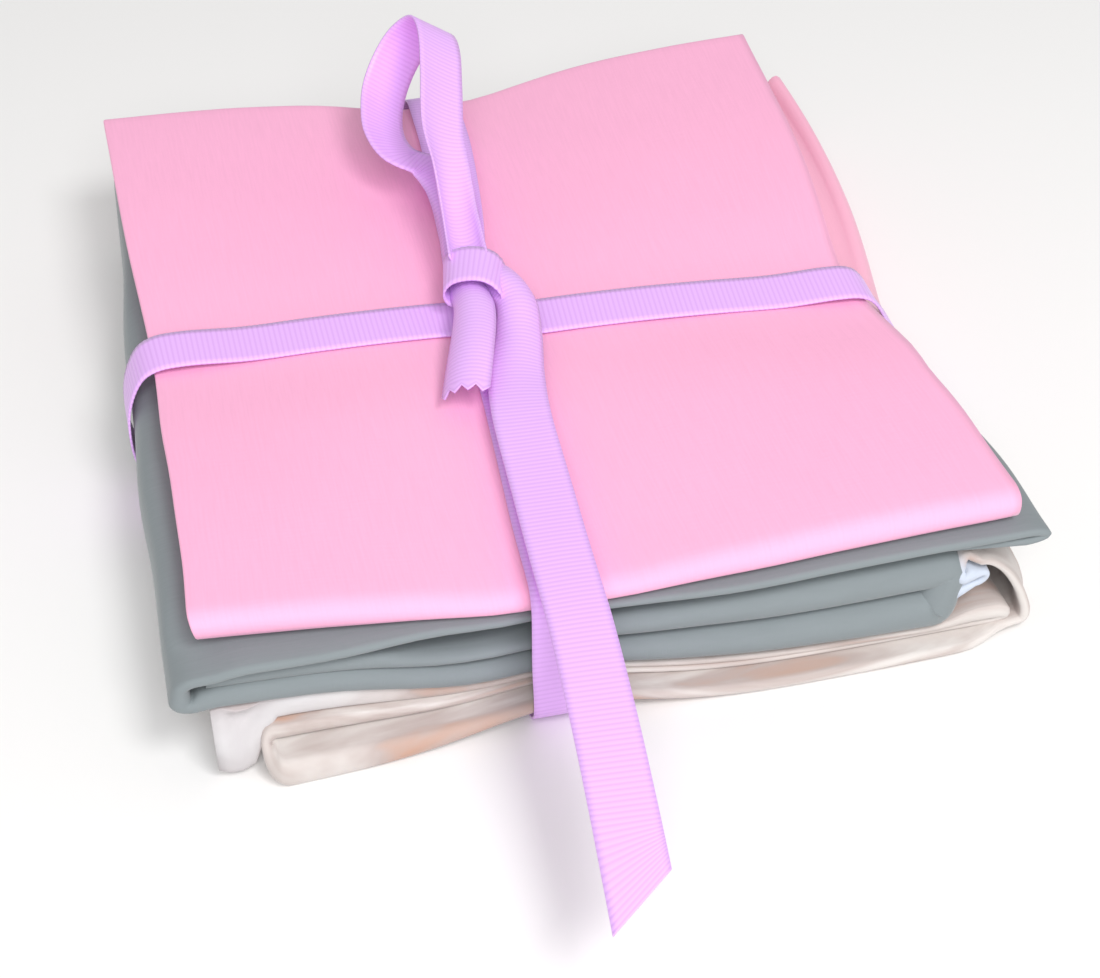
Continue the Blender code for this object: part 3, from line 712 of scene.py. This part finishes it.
def untied_cloth(cloth, stations, columns):
    """Where each point of a cloth lies before the ribbon presses it, and how high in its
    layer, from -1 to 1."""
    grid = np.empty((len(stations), len(columns), 3))
    heights = np.empty((len(stations), len(columns)))
    for column, (part_across, level, out) in enumerate(columns):
        middle = np.array([strip_row(cloth, station, part_across) for station in stations])
        along = np.gradient(middle[:, :2], axis=0)
        along /= np.linalg.norm(along, axis=1)[:, None]
        pad = middle[:, 4]
        run = middle[:, 0] - along[:, 1] * level * pad
        across = mix(middle[:, 2], middle[:, 3], part_across) + out * pad
        grid[:, column, 0] = across if cloth["crossed"] else run
        grid[:, column, 1] = run if cloth["crossed"] else across
        grid[:, column, 2] = middle[:, 1] + along[:, 0] * level * pad
        heights[:, column] = along[:, 0] * level
    return grid, heights


def fold_cloth(name, cloth, plies, creases, replaced, materials, tints=()):
    """One fat quarter: the sheet in all its plies and layers, pressed by the ribbon."""
    settings = bpy.context.scene.bundle_cloth
    step = settings.grid_step / MM
    creases = named_rows(CREASE_COLUMNS, creases)
    stations = route_stations(cloth["layers"], cloth["turns"], step)
    depth = cloth["layers"][1]["to_near"] - cloth["layers"][1]["from_near"]
    columns = ply_stations(plies, step, depth)
    work, places = sheet_grid(len(stations), len(columns))
    grid, heights = untied_cloth(cloth, stations, columns)
    flat_run = lengths_along(grid[:, 0])
    flat_across = lengths_along(grid[len(stations) // 3])
    uvs = {}
    tints = named_rows(TINT_COLUMNS, tints)
    shades = {tint["name"]: [0.0] * len(places) for tint in tints}
    for vertex, (row, column) in zip(work.verts, places):
        number, _, angle = stations[row]
        position = number + (angle or 0.0) / math.pi
        point = creased(Vector(grid[row, column]), creases, position, heights[row, column])
        for tint in tints:
            share = tint_share(tint, position, point)
            shades[tint["name"]][vertex.index] = max(share, shades[tint["name"]][vertex.index])
        point = waved(pressed(*point), settings.wave / MM)
        vertex.co = point * MM
        uvs[vertex.index] = (flat_run[row], flat_across[column])
    made = finished_piece(name, work, uvs, materials, replaced)
    for tint, values in shades.items():
        made.data.attributes.new(tint, "FLOAT", "POINT").data.foreach_set("value", values)
    thicken(made, settings.thickness, back_material=len(materials) > 1)


def smooth_route(points, step):
    """Rows read from the smooth curve through the given rows, about a step apart."""
    points = [Vector(point) for point in points]
    ends = [points[0] * 2 - points[1], *points, points[-1] * 2 - points[-2]]
    rows = []
    for before, start, end, after in zip(ends, ends[1:], ends[2:], ends[3:]):
        length = (end - start).to_3d().length
        count = max(1, round(length / step))
        for number in range(count):
            t = number / count
            rows.append(
                (
                    start * 2
                    + (end - before) * t
                    + (before * 2 - start * 5 + end * 4 - after) * t**2
                    + (start * 3 - before - end * 3 + after) * t**3
                )
                / 2
            )
    return [*rows, points[-1]]


def rib_rows(route, pitch):
    """Rows of the route at equal steps along it, RIB_STEPS to a rib."""
    table = np.array(smooth_route(route, ROUTE_STEP))
    lengths = lengths_along(table[:, :3])
    step = pitch / RIB_STEPS
    count = int(lengths[-1] / step)
    wanted = np.linspace(0.0, count * step, count + 1)
    read = [np.interp(wanted, lengths, table[:, item]) for item in range(table.shape[1])]
    return np.stack(read, axis=1), wanted


def weave_ribbon(name, route, replaced, slant=0.0, frayed=False):
    """A stretch of grosgrain along a route whose rows hold place, width direction and cup."""
    settings = bpy.context.scene.bundle_ribbon
    rows, lengths = rib_rows(route, settings.rib_pitch / MM)
    half = settings.width / MM / 2
    work, places = sheet_grid(len(rows), ACROSS_STEPS + 1)
    along = np.gradient(rows[:, :3], axis=0)
    along /= np.linalg.norm(along, axis=1)[:, None]
    width = rows[:, 3:6]
    share = np.linalg.norm(width, axis=1)
    side = width - along * (width * along).sum(axis=1)[:, None]
    side /= np.linalg.norm(side, axis=1)[:, None]
    up = np.cross(side, along)
    weights, uvs = {}, {}
    for vertex, (row, column) in zip(work.verts, places):
        part = column / ACROSS_STEPS * 2 - 1
        cup = rows[row, 6]
        if abs(cup) > LEAST_CUP:
            sideways = math.sin(cup * part) / cup
            raised = (1.0 - math.cos(cup * part)) / cup
        else:
            sideways, raised = part * share[row], 0.0
        point = rows[row, :3] + half * (side[row] * sideways + up[row] * raised)
        if frayed:
            ending = soft_step((lengths[row] - lengths[-1] + FRAY_LENGTH) / FRAY_LENGTH)
            tooth = TOOTH_OUT if column % 2 else TOOTH_IN
            point = point + along[row] * FRAY_LENGTH * tooth * ending
        if slant:
            ending = soft_step((lengths[row] - lengths[-1] + SLANT_LENGTH) / SLANT_LENGTH)
            point = point - along[row] * part * slant * ending
        vertex.co = Vector(point) * MM
        weights[vertex.index] = 0.5 + 0.5 * math.cos(2 * math.pi * row / RIB_STEPS)
        uvs[vertex.index] = (part * half, lengths[row])
    made = finished_piece(name, work, uvs, [grosgrain()], replaced)
    group = made.vertex_groups.new(name="ribs")
    for index, weight in weights.items():
        group.add([index], weight, "REPLACE")
    thicken(made, settings.thickness, group.name)
    return made


def flat_rows(points, width):
    """Route rows for points whose ribbon lies flat with this width direction."""
    return [(*point, *width, 0.0) for point in points]


def top_run(places, rise):
    """Points of the ribbon over the pressed top."""
    return [(x, y, top_of_stack(x, y) + rise) for x, y in places]


def underside_rise(x):
    """How high the side-to-side ribbon lies under the stack."""
    return UNDERSIDE_CROSSING_RISE if x in CROSSING_X else UNDERSIDE_RISE


def add_node(tree, kind, settings=None, values=None, links=None):
    """A node with its settings, the values of its sockets and what is linked to them."""
    node = tree.nodes.new(kind)
    for name, value in (settings or {}).items():
        setattr(node, name, value)
    for name, value in (values or {}).items():
        node.inputs[name].default_value = value
    for name, socket in (links or {}).items():
        tree.links.new(socket, node.inputs[name])
    return node


def new_material(name, roughness, sheen):
    """A Principled material, and its tree and shader."""
    material = bpy.data.materials.new(name)
    material.use_nodes = True
    tree = material.node_tree
    shader = tree.nodes["Principled BSDF"]
    shader.inputs["Roughness"].default_value = roughness
    shader.inputs["Metallic"].default_value = 0.0
    shader.inputs["IOR"].default_value = FIBRE_IOR
    shader.inputs["Sheen Weight"].default_value = sheen
    shader.inputs["Sheen Roughness"].default_value = SHEEN_ROUGHNESS
    return material, tree, shader


def set_stops(ramp, places, colours):
    """Gives a colour ramp its stops."""
    elements = ramp.color_ramp.elements
    for element, item in zip(elements, (0, -1)):
        element.position, element.color = places[item], colours[item]
    for place, colour in zip(places[1:-1], colours[1:-1]):
        elements.new(place).color = colour


def woven_bump(tree, shader, uv, strength):
    """Plain weave: uneven threads both ways."""
    heights = []
    for along, across in ((THREAD_STRETCH, 1.0), (1.0, THREAD_STRETCH)):
        spread = add_node(
            tree, "ShaderNodeMapping",
            values={"Scale": (along / WEAVE_PITCH, across / WEAVE_PITCH, 1.0)},
            links={"Vector": uv},
        )
        threads = add_node(
            tree, "ShaderNodeTexNoise", values={"Scale": 1.0, "Detail": 1.0},
            links={"Vector": spread.outputs["Vector"]},
        )
        heights.append(threads.outputs["Fac"])
    both = add_node(
        tree, "ShaderNodeMath", {"operation": "ADD"}, links={0: heights[0], 1: heights[1]}
    )
    height = add_node(
        tree, "ShaderNodeBump", values={"Strength": strength, "Distance": THREAD_HEIGHT * MM},
        links={"Height": both.outputs[0]},
    )
    tree.links.new(height.outputs["Normal"], shader.inputs["Normal"])


def cotton(name, dye):
    """Plain-woven quilting cotton, dyed through: dull, with slightly uneven threads that show
    as fine streaks, and a soft fuzz at grazing angles."""
    material, tree, shader = new_material(name, COTTON_ROUGHNESS, COTTON_SHEEN)
    uv = add_node(tree, "ShaderNodeUVMap", {"uv_map": "flat"}).outputs["UV"]
    streaks = add_node(
        tree, "ShaderNodeMapping", values={"Scale": (1 / SLUB_LENGTH, 1 / SLUB_WIDTH, 1.0)},
        links={"Vector": uv},
    )
    slubs = add_node(
        tree, "ShaderNodeTexNoise", values={"Scale": 1.0, "Detail": 3.0},
        links={"Vector": streaks.outputs["Vector"]},
    )
    ramp = add_node(tree, "ShaderNodeValToRGB", links={"Fac": slubs.outputs["Fac"]})
    set_stops(ramp, SLUB_STOPS, ([part * SLUB_SHADE for part in dye], dye))
    tree.links.new(ramp.outputs["Color"], shader.inputs["Base Color"])
    woven_bump(tree, shader, uv, DYED_WEAVE)
    return material


def marbled_cotton():
    """Plain-woven quilting cotton, printed: dull, with a soft marbling in cream, sand and
    peach that turns to blush or to the pale reverse where the cloth is tinted."""
    material, tree, shader = new_material("marbled_print", COTTON_ROUGHNESS, COTTON_SHEEN)
    settings = bpy.context.scene.bundle_cloth
    uv = add_node(tree, "ShaderNodeUVMap", {"uv_map": "flat"}).outputs["UV"]
    spread = add_node(
        tree, "ShaderNodeMapping",
        values={
            "Location": (0.0, VEIN_SHIFT, 0.0),
            "Scale": (1 / VEIN_LENGTH, 1 / VEIN_WIDTH, 1.0),
        },
        links={"Vector": uv},
    )
    cloud = add_node(
        tree, "ShaderNodeTexNoise", values={"Scale": 1.0, "Detail": 4.0, "Distortion": VEIN_CURL},
        links={"Vector": spread.outputs["Vector"]},
    )
    ramp = add_node(tree, "ShaderNodeValToRGB", links={"Fac": cloud.outputs["Fac"]})
    set_stops(
        ramp, VEIN_STOPS, (settings.print_peach, settings.print_sand, settings.print_cream)
    )
    colour = ramp.outputs["Color"]
    for name, tint in (("blush", settings.print_blush), ("pale", settings.reverse)):
        share = add_node(tree, "ShaderNodeAttribute", {"attribute_name": name})
        tinted = add_node(
            tree, "ShaderNodeMix", {"data_type": "RGBA"},
            links={"Factor": share.outputs["Fac"], 6: colour},
        )
        tinted.inputs[7].default_value = tint
        colour = tinted.outputs[2]
    tree.links.new(colour, shader.inputs["Base Color"])
    woven_bump(tree, shader, uv, PRINTED_WEAVE)
    return material


def print_reverse():
    """The unprinted side of the marbled cotton, where little of the dye shows through."""
    return cotton("print_reverse", bpy.context.scene.bundle_cloth.reverse)


def grosgrain():
    """Grosgrain ribbon, woven from bright polyester over thick ribs: a low silky shine on
    each rib, and shade painted into the colour as a darker line between two of them."""
    found = bpy.data.materials.get("lilac_grosgrain")
    if found:
        return found
    material, tree, shader = new_material(
        "lilac_grosgrain", GROSGRAIN_ROUGHNESS, GROSGRAIN_SHEEN
    )
    settings = bpy.context.scene.bundle_ribbon
    pitch = settings.rib_pitch / MM
    uv = add_node(tree, "ShaderNodeUVMap", {"uv_map": "flat"}).outputs["UV"]
    parts = add_node(tree, "ShaderNodeSeparateXYZ", links={"Vector": uv})
    turns = add_node(
        tree, "ShaderNodeMath", {"operation": "MULTIPLY"}, {1: 2 * math.pi / pitch},
        {0: parts.outputs["Y"]},
    )
    wave = add_node(
        tree, "ShaderNodeMath", {"operation": "COSINE"}, links={0: turns.outputs[0]}
    )
    raised = add_node(
        tree, "ShaderNodeMapRange", values={"From Min": -1.0, "From Max": GROOVE_SHADE_EDGE},
        links={"Value": wave.outputs[0]},
    )
    # Painted shade: the colour runs from the darker groove colour between the ribs to the rib
    # colour on them.
    colour = add_node(
        tree, "ShaderNodeMix", {"data_type": "RGBA"},
        links={"Factor": raised.outputs["Result"]},
    )
    colour.inputs[6].default_value = settings.groove
    colour.inputs[7].default_value = settings.rib
    tree.links.new(colour.outputs[2], shader.inputs["Base Color"])
    return material


class BUNDLE_OT_fold_pink(bpy.types.Operator):
    """Fold the pink fat quarter and lay it on top"""

    bl_idname = "bundle.fold_pink"
    bl_label = "Fold pink cloth"

    def execute(self, context):
        dyed = cotton("pink_dyed_cotton", context.scene.bundle_cloth.pink)
        cloth = untied_fold(PINK_LAYERS, PINK_TURNS, PINK_BOWS, crossed=True)
        fold_cloth("pink_fat_quarter", cloth, PINK_PLIES, PINK_CREASES, "pink_cotton", [dyed])
        return {"FINISHED"}


class BUNDLE_OT_fold_grey(bpy.types.Operator):
    """Fold the grey fat quarter and lay it in the middle"""

    bl_idname = "bundle.fold_grey"
    bl_label = "Fold grey cloth"

    def execute(self, context):
        dyed = cotton("grey_dyed_cotton", context.scene.bundle_cloth.grey)
        cloth = untied_fold(GREY_LAYERS, GREY_TURNS, STRAIGHT, crossed=False)
        fold_cloth("grey_fat_quarter", cloth, THREE_PLIES, GREY_CREASES, "grey_cotton", [dyed])
        return {"FINISHED"}


class BUNDLE_OT_fold_marbled(bpy.types.Operator):
    """Fold the marbled fat quarter and lay it at the bottom"""

    bl_idname = "bundle.fold_marbled"
    bl_label = "Fold marbled cloth"

    def execute(self, context):
        cloth = untied_fold(MARBLED_LAYERS, MARBLED_TURNS, STRAIGHT, crossed=False)
        fold_cloth(
            "marbled_fat_quarter", cloth, THREE_PLIES, MARBLED_CREASES, "marbled_cotton",
            [marbled_cotton(), print_reverse()], MARBLED_TINTS,
        )
        return {"FINISHED"}


class BUNDLE_OT_tie_ribbon(bpy.types.Operator):
    """Take the ribbon round the stack both ways"""

    bl_idname = "bundle.tie_ribbon"
    bl_label = "Tie ribbon round"

    def execute(self, context):
        left = top_run([(x, crossways_y(x)) for x in LEFT_OF_KNOT_X], TOP_RISE)
        right = top_run([(x, crossways_y(x)) for x in RIGHT_OF_KNOT_X], TOP_RISE)
        under = [(x, UNDERSIDE_Y, underside_rise(x)) for x in UNDERSIDE_PLACES_X]
        points = [*left, *LEFT_SIDE, *under, *RIGHT_SIDE[::-1], *right]
        weave_ribbon(
            "grosgrain_crossways", flat_rows(points, (0, 1, 0)), "ribbon_crossways"
        )
        back = top_run(BACK_OF_KNOT, TOP_RISE)
        gathered = [(*point, 1, 0, 0, cup) for point, cup in zip(back, GATHERED_CUPS)]
        under = [(UNDERSIDE_X, y, UNDERSIDE_RISE) for y in UNDERSIDE_PLACES_Y]
        front = top_run([(lengthways_x(y), y) for y in FRONT_OF_KNOT_Y], TOP_RISE)
        end = top_run([(lengthways_x(y), y) for y in UNDER_KNOT_Y], TOP_CROSSING_RISE)
        points = [*BACK_SIDE, *under, *FRONT_SIDE[::-1], *front, *end]
        weave_ribbon(
            "grosgrain_lengthways", [*gathered, *flat_rows(points, (1, 0, 0))],
            "ribbon_lengthways",
        )
        return {"FINISHED"}


class BUNDLE_OT_tie_knot(bpy.types.Operator):
    """Wrap the knot and lay its loop and both ends"""

    bl_idname = "bundle.tie_knot"
    bl_label = "Tie knot and loop"

    def execute(self, context):
        weave_ribbon("grosgrain_wrap", WRAP_ROUTE, "ribbon_knot")
        weave_ribbon("grosgrain_loop", LOOP_ROUTE, "ribbon_loop")
        weave_ribbon(
            "grosgrain_short_end", SHORT_TAIL_ROUTE, "ribbon_short_tail", frayed=True
        )
        weave_ribbon(
            "grosgrain_long_end", LONG_TAIL_ROUTE, "ribbon_long_tail",
            slant=LONG_TAIL_SLANT,
        )
        return {"FINISHED"}


def camera_matrix():
    """The camera's place and turn: azimuth from the front, height and roll, in degrees."""
    azimuth, height, roll = (math.radians(angle) for angle in CAMERA_TURN)
    back = Vector(
        (
            math.sin(azimuth) * math.cos(height),
            -math.cos(azimuth) * math.cos(height),
            math.sin(height),
        )
    )
    level = Vector((math.cos(azimuth), math.sin(azimuth), 0.0))
    upright = back.cross(level)
    right = level * math.cos(roll) + upright * math.sin(roll)
    up = upright * math.cos(roll) - level * math.sin(roll)
    turn = Matrix((right, up, back)).transposed().to_4x4()
    return Matrix.Translation(Vector(CAMERA_AT) * MM) @ turn


def add_light(name, place, size, power):
    """A round area light that faces the stack."""
    data = bpy.data.lights.new(name, "AREA")
    data.shape = "DISK"
    data.size = size
    data.energy = power
    light = bpy.data.objects.new(name, data)
    light.location = place
    facing = Vector(place) - Vector(LIGHTS_FACE)
    light.rotation_euler = facing.to_track_quat("Z", "Y").to_euler()
    bpy.context.scene.collection.objects.link(light)


class BUNDLE_OT_stage(bpy.types.Operator):
    """Set the floor, the lights and the camera"""

    bl_idname = "bundle.stage"
    bl_label = "Set stage"

    def execute(self, context):
        scene = context.scene
        work = bmesh.new()
        bmesh.ops.create_grid(work, x_segments=1, y_segments=1, size=FLOOR_HALF)
        mesh = bpy.data.meshes.new("floor")
        work.to_mesh(mesh)
        work.free()
        card, _, shader = new_material("matt_white_card", FLOOR_ROUGHNESS, 0.0)
        shader.inputs["Base Color"].default_value = linear(FLOOR_COLOUR)
        mesh.materials.append(card)
        floor = bpy.data.objects.new("floor", mesh)
        scene.collection.objects.link(floor)
        for light in LIGHTS:
            add_light(*light)
        world = bpy.data.worlds.new("studio")
        scene.world = world
        world.use_nodes = True
        background = world.node_tree.nodes["Background"]
        background.inputs["Color"].default_value = (1.0, 1.0, 1.0, 1.0)
        background.inputs["Strength"].default_value = ROOM_STRENGTH
        data = bpy.data.cameras.new("camera")
        data.sensor_width = FILM_WIDTH
        data.lens = CAMERA_LENS
        data.clip_start = NEAREST_SEEN * MM
        camera = bpy.data.objects.new("camera", data)
        camera.matrix_world = camera_matrix()
        scene.collection.objects.link(camera)
        scene.camera = camera
        scene.view_settings.view_transform = "Standard"
        return {"FINISHED"}


STEPS = (
    BUNDLE_OT_fold_pink,
    BUNDLE_OT_fold_grey,
    BUNDLE_OT_fold_marbled,
    BUNDLE_OT_tie_ribbon,
    BUNDLE_OT_tie_knot,
    BUNDLE_OT_stage,
)


class BUNDLE_PT_steps(bpy.types.Panel):
    """The steps of making the bundle"""

    bl_idname = "BUNDLE_PT_steps"
    bl_label = "Fat quarter bundle"
    bl_space_type = "VIEW_3D"
    bl_region_type = "UI"
    bl_category = "Bundle"

    def draw(self, context):
        for settings in (context.scene.bundle_cloth, context.scene.bundle_ribbon):
            for name in settings.__annotations__:
                self.layout.prop(settings, name)
        for step in STEPS:
            self.layout.operator(step.bl_idname)


CLASSES = (ClothSettings, RibbonSettings, *STEPS, BUNDLE_PT_steps)


def register():
    """Register the classes and give the scene its settings."""
    for item in CLASSES:
        bpy.utils.register_class(item)
    bpy.types.Scene.bundle_cloth = bpy.props.PointerProperty(type=ClothSettings)
    bpy.types.Scene.bundle_ribbon = bpy.props.PointerProperty(type=RibbonSettings)


def unregister():
    """Take all of it back."""
    del bpy.types.Scene.bundle_cloth
    del bpy.types.Scene.bundle_ribbon
    for item in reversed(CLASSES):
        bpy.utils.unregister_class(item)


def main():
    """Make the bundle and its stage."""
    register()
    bpy.ops.bundle.fold_pink()
    bpy.ops.bundle.fold_grey()
    bpy.ops.bundle.fold_marbled()
    bpy.ops.bundle.tie_ribbon()
    bpy.ops.bundle.tie_knot()
    bpy.ops.bundle.stage()


if __name__ == "__main__":
    main()
